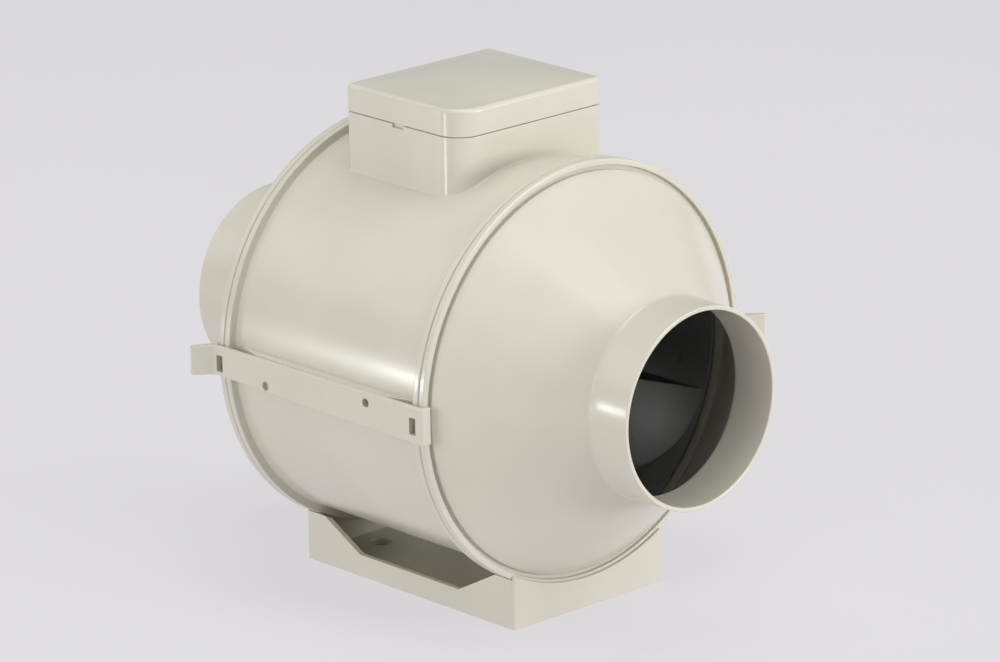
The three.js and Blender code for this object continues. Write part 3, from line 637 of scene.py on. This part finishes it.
# ---- Bracket -------------------------------------------------------------------------------------
def make_bracket():
    x, y, floor = bracket_high.x, bracket_high.y, bracket_low.z
    inner_x, inner_y = x - BRACKET_WALL, y - BRACKET_WALL
    inside = [(-inner_x, -inner_y, 1), (inner_x, -inner_y, 1), (inner_x, inner_y, 1),
              (-inner_x, inner_y, 1)]
    outside = [(-x, -y, 1.6), (x, -y, 1.6), (x, y, 1.6), (-x, y, 1.6)]
    tray = prism("base_bracket_moulding", rounded(outside), floor, BRACKET_TOP)
    seat = [(0, -HOOK_FACE), (RING_RADIUS + GAP, -HOOK_FACE), (RING_RADIUS + GAP, HOOK_FACE),
            (0, HOOK_FACE)]
    saddle = [(0, -y - 1), (SADDLE_RADIUS, -y - 1), (SADDLE_RADIUS, y + 1), (0, y + 1)]
    carve(tray, [prism("space", rounded(inside), floor + BRACKET_FLOOR, BRACKET_TOP + 2),
                 turned("seat", seat, ROUND), turned("saddle", saddle, ROUND),
                 prism("window", rounded(WINDOW_PROFILE), -x - 1, x + 1, "X")])
    soften(tray, 0.4, 2, 40)
    cutters = []
    for side_x in (-1, 1):
        for side_y in (-1, 1):
            place = (BRACKET_SCREWS[0] * side_x, BRACKET_SCREWS[1] * side_y, floor)
            sink = BRACKET_FLOOR - 1.6
            profile = rounded([(0, -1), (2.6, -1), (2.6, sink, 0.2), (5.5, sink, 0.2),
                               (5.5, BRACKET_FLOOR, 0.3), (6.6, BRACKET_FLOOR + 0.4),
                               (0, BRACKET_FLOOR + 1)])
            cutters.append(turned("hole", profile, 48, "Z", place))
    return carve(tray, cutters)


piece(make_bracket(), SHELL, "housing", "shell_plastic", "base_bracket")


# ---- Snap clamps ---------------------------------------------------------------------------------
def make_clamp(name):
    """The left clamp: a plate along the casing, a hook over each flange and a pull tab at +Y."""
    outline = rounded([
        (-CLAMP_OUTER, -HOOK_END, 1.1), (-HOOK_TIP, -HOOK_END, 0.6), (-HOOK_TIP, -HOOK_FACE, 0.5),
        (-CLAMP_INNER, -HOOK_FACE, 0.3), (-CLAMP_INNER, HOOK_FACE, 0.3), (-HOOK_TIP, HOOK_FACE, 0.5),
        (-HOOK_TIP, HOOK_END, 0.6), (-CLAMP_INNER, HOOK_END, 1.2), (-113.4, 80.2, 0.8),
        (-115.2, 78.4, 0.8), (-CLAMP_OUTER, 71.2, 3),
    ])
    (y0, low0, high0), (y1, low1, high1) = CLAMP_PROFILE

    def edge(first, last):
        return [Vector((x, y, first + (last - first) * (y - y0) / (y1 - y0))) for x, y in outline]

    shape = soften(lofted(name, [edge(low0, low1), edge(high0, high1)]), 0.45, 3, 50)
    near, far, low, high = CLAMP_WINDOW
    cutters = []
    for a, b in ((near, far), (-far, -near)):
        outline_window = rounded([(a, low, 0.5), (b, low, 0.5), (b, high, 0.5), (a, high, 0.5)])
        cutters.append(prism("window", outline_window, -CLAMP_OUTER - 1, -CLAMP_INNER + 1, "X"))
    for y, z in CLAMP_HOLES:
        cutters.append(hole(2.15, -CLAMP_OUTER, -CLAMP_INNER, "X", (0, y, z), 0.2))
    return carve(shape, cutters)


piece(make_clamp("clamp_left_moulding"), SHELL, "left_clamp", "shell_plastic", "clamp_left")
piece(half_turn(make_clamp("clamp_right_moulding")), SHELL, "right_clamp", "shell_plastic", "clamp_right")


# ---- Guide vanes and impeller --------------------------------------------------------------------
def around_duct(radius, degrees, y):
    turn = compass(degrees) * radius
    return Vector((turn.x, y, turn.y))


def blade(stations, thickness, edge):
    """A curved blade through stations of angle, station on the axis, root radius and tip radius."""
    loops = []
    for i, (angle, y, root, tip) in enumerate(stations):
        before, after = stations[max(i - 1, 0)], stations[min(i + 1, len(stations) - 1)]
        middle = (root + tip) / 2
        run = math.radians(after[0] - before[0]) * middle
        rise = after[1] - before[1]
        length = math.hypot(run, rise)
        sideways = math.degrees(thickness / 2 * rise / length / middle)
        along = thickness / 2 * run / length
        loops.append([around_duct(root, angle - sideways, y + along),
                      around_duct(tip, angle - sideways, y + along),
                      around_duct(tip, angle + sideways, y - along),
                      around_duct(root, angle + sideways, y - along)])
    return soften(lofted("blade", loops), edge, 2, 50)


def make_guide_vanes():
    inside = CUP_RADIUS - 2.4
    floor = CUP_FLOOR
    cup = turned("guide_vane_moulding", rounded([
        (0, floor), (0, floor - 6), (24, floor - 5, 40), (40, floor - 2.5, 12), (CUP_RADIUS, floor + 3, 5),
        (CUP_RADIUS, CUP_MOUTH, 0.6), (inside, CUP_MOUTH, 0.6), (inside, floor, 0.8)]), 128)
    ring = turned("ring", rounded([(VANE_RING[0], VANE_RING_END, 0.8),
                                   (VANE_RING[1], VANE_RING_END, 0.8),
                                   (VANE_RING[1], LUG_FACE - GAP, 0.5),
                                   (VANE_RING[0], LUG_FACE - GAP, 0.5)]), 128)
    parts = [ring]
    for i in range(VANE_COUNT):
        stations = [(VANE_TRAILING + i * VANE_PITCH - swept, y, CUP_RADIUS - 1, VANE_RING[0] + 0.8)
                    for swept, y in flowing(VANE_PATH)]
        parts.append(blade(stations, 1.8, 0.5))
    for angle in LUG_ANGLES:
        ear = soften(block("ear", (86.5, LUG_FACE - 6, -LUG_HALF),
                           (VANE_RING[0] + 1, LUG_FACE - GAP, LUG_HALF)), 0.5)
        carve(ear, [hole(1.9, LUG_FACE - 6, LUG_FACE - GAP, "Y", (LUG_RADIUS, 0, 0), 0.3)])
        parts.append(about_axis(ear, angle))
    combine(cup, parts)
    pilots = [about_axis(hole(1.6, floor - 4, floor, "Y", (MOTOR_SCREW_RADIUS - 4, 0, 0), 0.3), angle)
              for angle in MOTOR_SCREW_ANGLES]
    slot = block("slot", (-4, LEAD_Y - 4, 40), (4, CUP_MOUTH + 1, 50))
    return carve(cup, [*pilots, slot])


def make_impeller():
    hub = turned("impeller_moulding", rounded([
        (6.3, HUB_START, 0.3), (10.5, HUB_START, 0.6), (10.5, 73, 1.5), (35.2, 73, 1), (42.6, 52, 6),
        (44.6, 38, 6),
        (44.6, 10, 0.5), (47, 10, 0.5), (47, 38, 10), (45.2, 52, 10), (37.6, 77, 10), (26, 98, 0.8),
        (23.6, 96.6, 0.6), (33.8, 76.4, 1), (10.5, 76.4, 1), (10.5, HUB_END, 0.5),
        (6.3, HUB_END, 0.3)], 12), 128)
    blades = []
    for i in range(BLADE_COUNT):
        stations = []
        for swept, y, root in flowing(BLADE_PATH):
            tip = min(cone_inner(max(y + BLADE_GAP, RING_FACE)), CASING_BORE) - BLADE_GAP
            stations.append((i * 360 / BLADE_COUNT + swept, y, root, tip))
        blades.append(blade(stations, 2.2, 0.6))
    return combine(hub, blades)


piece(make_guide_vanes(), VANE, "housing", "vane_plastic", "guide_vane_housing")
piece(make_impeller(), BLACK, "rotor", "dark_plastic", "impeller")


# ---- Turned parts and fasteners ------------------------------------------------------------------
def ring_piece(name, node, inner, outer, start, end, material, body, slot, edge=0.3):
    outline = rounded([(inner, start, edge), (outer, start, edge), (outer, end, edge), (inner, end, edge)])
    piece(turned(name, outline, 64), material, body, slot, node)


shaft_low, shaft_high = span("motor_shaft")
shaft = turned("motor_shaft_bar", rounded([(0, shaft_low.y), (4, shaft_low.y, 0.8), (4, shaft_high.y, 0.8),
                                           (0, shaft_high.y)]), 64)
piece(shaft, STEEL, "rotor", "steel", "motor_shaft")
ring_piece("impeller_bush_ring", "impeller_bush", 4.3, 6, HUB_START, HUB_END, BRASS, "rotor", "brass")
ring_piece("impeller_washer_ring", "impeller_washer", 4.3, 9, 82.3, 83.5, ZINC, "rotor", "zinc_steel")
ring_piece("shaft_circlip_ring", "shaft_circlip", 4.3, 6.6, 0.8, 1.8, STEEL, "rotor", "steel", 0.2)


def bearing(name, node):
    """Outer and inner races with a recessed shield between them."""
    low, high = span(node)
    start, end = low.y, high.y
    outline = rounded([
        (4.3, start, 0.4), (6.2, start, 0.2), (6.6, start + 0.5), (9.2, start + 0.5), (9.6, start, 0.2),
        (11, start, 0.5), (11, end, 0.5), (9.6, end, 0.2), (9.2, end - 0.5), (6.6, end - 0.5),
        (6.2, end, 0.2), (4.3, end, 0.4)])
    piece(turned(name, outline, 96), STEEL, "housing", "steel", node)


bearing("rear_ball_bearing", "rear_bearing")
bearing("front_ball_bearing", "front_bearing")


def hexagon(radius, centre=(0, 0)):
    return [Vector(centre) + radius * compass(90 + 60 * k) for k in range(6)]


def make_nut():
    nut = soften(prism("impeller_hex_nut", hexagon(7.5), NUT_START, NUT_END, "Y"), 0.35)
    return carve(nut, [hole(4.3, NUT_START, NUT_END, "Y", (0, 0, 0), 0.5)])


piece(make_nut(), ZINC, "rotor", "zinc_steel", "impeller_nut")


def make_screw(name, head_radius, head_height, shank_radius, length, crossed):
    """A screw along +Y with its head's top at y = 0."""
    outline = rounded([(0, 0), (head_radius, 0, 0.7), (head_radius, head_height, 0.2),
                       (shank_radius, head_height, 0.3), (shank_radius, length, 0.4), (0, length)])
    shape = turned(name, outline, 48)
    arm = head_radius * (0.62 if crossed else 1.2)
    slots = [block("slot", (-arm, -1, -0.4), (arm, head_height * 0.55, 0.4))]
    if crossed:
        slots.append(block("slot", (-0.4, -1, -arm), (0.4, head_height * 0.55, arm)))
    return carve(shape, slots)


for i, angle in enumerate(LUG_ANGLES, 1):
    bolt = make_screw(f"housing_pan_screw_{i}", 2.9, 2, 1.5, 18.3, True)
    head = around_duct(LUG_RADIUS, angle, LUG_FACE - 8.3)
    bolt.data.transform(Matrix.Translation(head))
    piece(bolt, ZINC, "housing", "zinc_steel", f"housing_screw_{i}")
for i, angle in enumerate(MOTOR_SCREW_ANGLES, 1):
    bolt = half_turn(make_screw(f"motor_pan_screw_{i}", 3, 2.2, 1.5, 59, True))
    bolt.data.transform(Matrix.Translation(around_duct(MOTOR_SCREW_RADIUS, angle, 2.5)))
    piece(bolt, ZINC, "housing", "zinc_steel", f"motor_screw_{i}")


# ---- Terminal box contents -----------------------------------------------------------------------
BLOCK_LOW, BLOCK_HIGH = span("terminal_block")
BLOCK_MIDDLE = (BLOCK_LOW.y + BLOCK_HIGH.y) / 2


def make_terminal_block():
    body = soften(block("terminal_block_body", BLOCK_LOW, BLOCK_HIGH), 0.5)
    low, high = BLOCK_LOW, BLOCK_HIGH
    cutters = []
    for x in TERMINAL_XS:
        cutters.append(hole(1.8, high.z - 7, high.z, "Z", (x, BLOCK_MIDDLE, 0), 0.3, 32))
        mouth = rounded([(x - 2, low.z + 2.5, 0.6), (x + 2, low.z + 2.5, 0.6), (x + 2, low.z + 6.5, 0.6),
                         (x - 2, low.z + 6.5, 0.6)])
        cutters.append(prism("entry", mouth, low.y - 1, low.y + 4, "Y"))
    for x in (-10, 0, 10):
        cutters.append(block("groove", (x - 0.6, low.y - 1, high.z - 3), (x + 0.6, high.y + 1, high.z + 1)))
    return carve(body, cutters)


piece(make_terminal_block(), WHITE, "housing", "white_plastic", "terminal_block")
for i, x in enumerate(TERMINAL_XS, 1):
    top = BLOCK_HIGH.z + 2
    bolt = make_screw(f"terminal_slotted_screw_{i}", 2.7, 1.7, 1.5, 8, False)
    bolt.data.transform(Matrix.Rotation(-math.pi / 2, 4, "X"))
    bolt.data.transform(Matrix.Rotation(math.radians(25 + 50 * i), 4, "Z"))
    bolt.data.transform(Matrix.Translation((x, BLOCK_MIDDLE, top)))
    piece(bolt, BRASS, "housing", "brass", f"terminal_screw_{i}")


def make_capacitor():
    low, high = span("capacitor")
    place = (0, (low.y + high.y) / 2, (low.z + high.z) / 2)
    radius = 11
    left, right = low.x + 5, high.x
    can = turned("capacitor_can", rounded([
        (0, left), (radius - 1.5, left, 0.8), (radius - 1.5, left + 1.5, 0.3), (radius, left + 1.5, 0.8),
        (radius, right - 1.5, 0.8), (radius - 1.5, right - 1.5, 0.3), (radius - 1.5, right, 0.8),
        (0, right)]), 96, "X", place)
    tags = [block("tag", (low.x, place[1] + dy - 0.4, place[2] - 3), (left + 1, place[1] + dy + 0.4,
                                                                      place[2] + 3)) for dy in (-4, 4)]
    return combine(can, tags)


piece(make_capacitor(), WHITE, "housing", "white_plastic", "capacitor")


# ---- Cable gland, grommet and motor lead ---------------------------------------------------------
def make_gland(name):
    """The gland's body: a threaded tube through the wall with a hexagonal flange outside."""
    wall = BOX_Y[1]
    start, bore, thread = wall - BOX_WALL - 4.5, 3.8, 6.5
    ridges = [(thread - (0.5 if k % 2 else 0), start + 0.5 + 0.5 * k) for k in range(8)]
    outline = [(bore, start), (thread - 0.6, start), *ridges, (thread, wall + GAP),
               (8.3, wall + GAP), (8.3, wall + 4), (6.6, wall + 4), (6.6, wall + 10), (bore, wall + 10)]
    return turned(name, outline, 64, "Y", (GLAND_X, 0, GLAND_Z))


def make_gland_nut(name):
    """A domed nut with grip ribs round its skirt."""
    wall = BOX_Y[1]
    nut = turned(name, rounded([
        (6.9, wall + 4.4, 0.2), (8.1, wall + 4.4, 0.4), (8.1, wall + 10.5, 0.8), (6.3, wall + 14, 0.6),
        (3.8, wall + 14, 0.5), (3.8, wall + 11, 0.3), (6.9, wall + 10.4, 0.3)]), 96, "Y",
        (GLAND_X, 0, GLAND_Z))
    grooves = []
    for k in range(16):
        side = compass(360 / 16 * k) * 8.6
        outline = [(0, wall + 3), (0.8, wall + 3), (0.8, wall + 9.6), (0, wall + 10.4)]
        grooves.append(turned("groove", outline, 16, "Y", (GLAND_X + side.x, 0, GLAND_Z + side.y)))
    return carve(nut, grooves)


def make_locknut(name):
    inner = BOX_Y[1] - BOX_WALL
    nut = soften(prism(name, hexagon(7.9, (GLAND_X, GLAND_Z)), inner - 3.3, inner - GAP, "Y"), 0.3)
    return carve(nut, [hole(6.8, inner - 3.3, inner - GAP, "Y", (GLAND_X, 0, GLAND_Z), 0.2)])


piece(make_gland("cable_gland_body"), BLACK, "housing", "dark_plastic", "cable_gland")
piece(make_gland_nut("cable_gland_dome_nut"), BLACK, "housing", "dark_plastic", "cable_gland_nut")
piece(make_locknut("cable_gland_hex_locknut"), BLACK, "housing", "dark_plastic", "cable_gland_locknut")

grommet = turned("lead_grommet_ring", rounded([
    (LEAD_RADIUS + 0.4, CASING_BORE - 2.2, 0.3), (7, CASING_BORE - 2.2, 0.5), (7, CASING_BORE - 0.6, 0.3),
    (4.7, CASING_BORE - 0.6, 0.2), (4.7, CASING_RADIUS + GAP, 0.2), (7, CASING_RADIUS + GAP, 0.3),
    (7, CASING_RADIUS + 1.6, 0.5), (LEAD_RADIUS + 0.4, CASING_RADIUS + 1.6, 0.3)]), 64, "Z", (0, LEAD_Y, 0))
piece(grommet, RUBBER, "housing", "seal_rubber", "lead_grommet")


def make_lead(name):
    """The lead from the windings through the grommet to the terminals, in the plane x = 0."""
    end = BLOCK_HIGH.y + GAP
    path = flowing([(LEAD_Y, 34.5), (LEAD_Y, 50), (LEAD_Y, 70), (LEAD_Y, 90), (LEAD_Y, 98),
                    (LEAD_Y + 0.4, 103), (LEAD_Y - 0.8, 106.6), (LEAD_Y - 3.6, 107.8), (end, 108)], 6)
    loops = []
    for i, (y, z) in enumerate(path):
        before, after = path[max(i - 1, 0)], path[min(i + 1, len(path) - 1)]
        along = Vector((0, after[0] - before[0], after[1] - before[1])).normalized()
        across = along.cross(Vector((1, 0, 0)))
        turns = [compass(360 / 24 * k) * (LEAD_RADIUS - 0.05) for k in range(24)]
        loops.append([Vector((t.x, y, z)) + across * t.y for t in turns])
    return lofted(name, loops)


piece(make_lead("motor_lead_sheath"), BLACK, "housing", "dark_plastic", "motor_lead")


# ---- Parts kept from the frame -------------------------------------------------------------------
def keep(node, material):
    """Gives a frame node its material and smooth shading. Its shape stays as it is."""
    kept = frame["nodes"][node]
    kept.data.materials.clear()
    kept.data.materials.append(material)
    smooth(kept.data)


keep("motor_rear_cap", ALUMINIUM)
keep("motor_front_cap", ALUMINIUM)
keep("stator_core", LAMINATED)
keep("stator_winding", COPPER)
keep("motor_rotor", LAMINATED)
keep("capacitor_clip", ZINC)


# ---- Camera, light and floor ---------------------------------------------------------------------
AZIMUTH = math.radians(-42.97)
ELEVATION = math.radians(17.34)
ROLL = math.radians(-0.78)
DISTANCE = 2.855
LENS = 214.5
OFFSET = (0.00966, 0.00482)


def make_camera():
    back = Vector((math.sin(AZIMUTH) * math.cos(ELEVATION), -math.cos(AZIMUTH) * math.cos(ELEVATION),
                   math.sin(ELEVATION)))
    right = Vector((math.cos(AZIMUTH), math.sin(AZIMUTH), 0))
    up = back.cross(right)
    across = right * math.cos(ROLL) + up * math.sin(ROLL)
    upward = up * math.cos(ROLL) - right * math.sin(ROLL)
    data = bpy.data.cameras.new("camera")
    data.lens = LENS
    data.clip_end = 50
    camera = bpy.data.objects.new("camera", data)
    place = AXIS * MM + back * DISTANCE + across * OFFSET[0] + upward * OFFSET[1]
    turn = Matrix((across, upward, back)).transposed().to_4x4()
    camera.matrix_world = Matrix.Translation(place) @ turn
    bpy.context.scene.collection.objects.link(camera)
    bpy.context.scene.camera = camera


def area_light(name, place, size, power):
    data = bpy.data.lights.new(name, "AREA")
    data.shape = "RECTANGLE"
    data.size, data.size_y = size
    data.energy = power
    light = bpy.data.objects.new(name, data)
    light.location = place
    light.rotation_euler = (AXIS * MM - Vector(place)).to_track_quat("-Z", "Y").to_euler()
    light.visible_camera = False
    bpy.context.scene.collection.objects.link(light)
    return light


def make_floor():
    """Pale paper that glows a little, so that it stays even and the shadow on it stays faint. A darker
    sheet under the bracket is painted shadow.
    """
    look = Look("floor_paper")
    look.colour(look.noise(3), (0.16, 0.158, 0.164), (0.168, 0.166, 0.172))
    look.roughness(look.noise(40), 0.85, 0.95)
    look.shader.inputs["Specular IOR Level"].default_value = 0
    look.shader.inputs["Emission Color"].default_value = (*FLOOR_GLOW, 1)
    look.shader.inputs["Emission Strength"].default_value = FLOOR_STRENGTH
    half = 6
    floor = mesh_object("floor", [(-half, -half, 0), (half, -half, 0), (half, half, 0),
                                  (-half, half, 0)], [(0, 1, 2, 3)])
    floor.data.materials.append(look.material)
    # Painted shadow: a darker, non-glowing sheet inside the bracket's footprint stands in for the shade
    # that shows through the bracket's screw holes.
    shade = Look("painted_shadow_paper")
    shade.colour(shade.noise(40), (0.20, 0.20, 0.20), (0.24, 0.24, 0.24))
    x, y = bracket_high.x * MM * 0.97, bracket_high.y * MM * 0.97
    painted_shadow_patch = mesh_object("painted_shadow_under_bracket", [(-x, -y, 0.0001), (x, -y, 0.0001), (x, y, 0.0001),
                                                (-x, y, 0.0001)], [(0, 1, 2, 3)])
    painted_shadow_patch.data.materials.append(shade.material)


FLOOR_GLOW = (0.738, 0.723, 0.753)
FLOOR_STRENGTH = 0.79
WORLD_STRENGTH = 0.36
LIGHTS = (                                   # name, place and size in metres, watts
    ("key", (0.4, -1.7, 1.8), (1.4, 1.4), 15),
    ("face", (1.0, -1.9, 0.3), (0.8, 0.5), 22),
    ("left", (-2.2, -0.1, 0.7), (1.2, 1.0), 19),
    ("top", (0, 0, 2.2), (1.2, 1.2), 16),
    ("back", (-1.2, 1.4, 1.2), (1, 1), 2.5),
)
SNOOT_POWER = 22
SNOOT_PLACE = (-0.715, -1.18, 0.355)
SNOOT_AIM = (0.055, -0.06, 0.075)            # the vane that shows through the outlet
SNOOT_SPREAD = 2.4                           # degrees
GLOSS_LIGHTS = (                             # narrow lamps seen only as reflections
    ("spigot_strip", (-0.90, 0.70, 0.05), (0.06, 0.08), 0.9),
    ("corner_strip", (-0.62, 0.14, 0.06), (0.03, 0.09), 0.3),
)

make_camera()
make_floor()
world = bpy.data.worlds.new("studio")
world.use_nodes = True
world.node_tree.nodes["Background"].inputs["Color"].default_value = (1, 1, 1, 1)
world.node_tree.nodes["Background"].inputs["Strength"].default_value = WORLD_STRENGTH
bpy.context.scene.world = world
bpy.context.scene.view_settings.view_transform = "Standard"
for name, place, size, power in LIGHTS:
    light = area_light(name, place, size, power)
    light.visible_glossy = name != "left"    # its broad reflection would wash out the casing
snoot = bpy.data.lights.new("snoot", "SPOT")     # reaches through the outlet to the guide vanes
snoot.energy = SNOOT_POWER
snoot.spot_size = math.radians(SNOOT_SPREAD)
snoot.spot_blend = 0.9
snoot.shadow_soft_size = 0.02
snoot_light = bpy.data.objects.new("snoot", snoot)
snoot_light.location = SNOOT_PLACE
aim = Vector(SNOOT_AIM) - Vector(SNOOT_PLACE)
snoot_light.rotation_euler = aim.to_track_quat("-Z", "Y").to_euler()
bpy.context.scene.collection.objects.link(snoot_light)
for name, place, size, power in GLOSS_LIGHTS:
    light = area_light(name, place, size, power)
    light.visible_diffuse = False
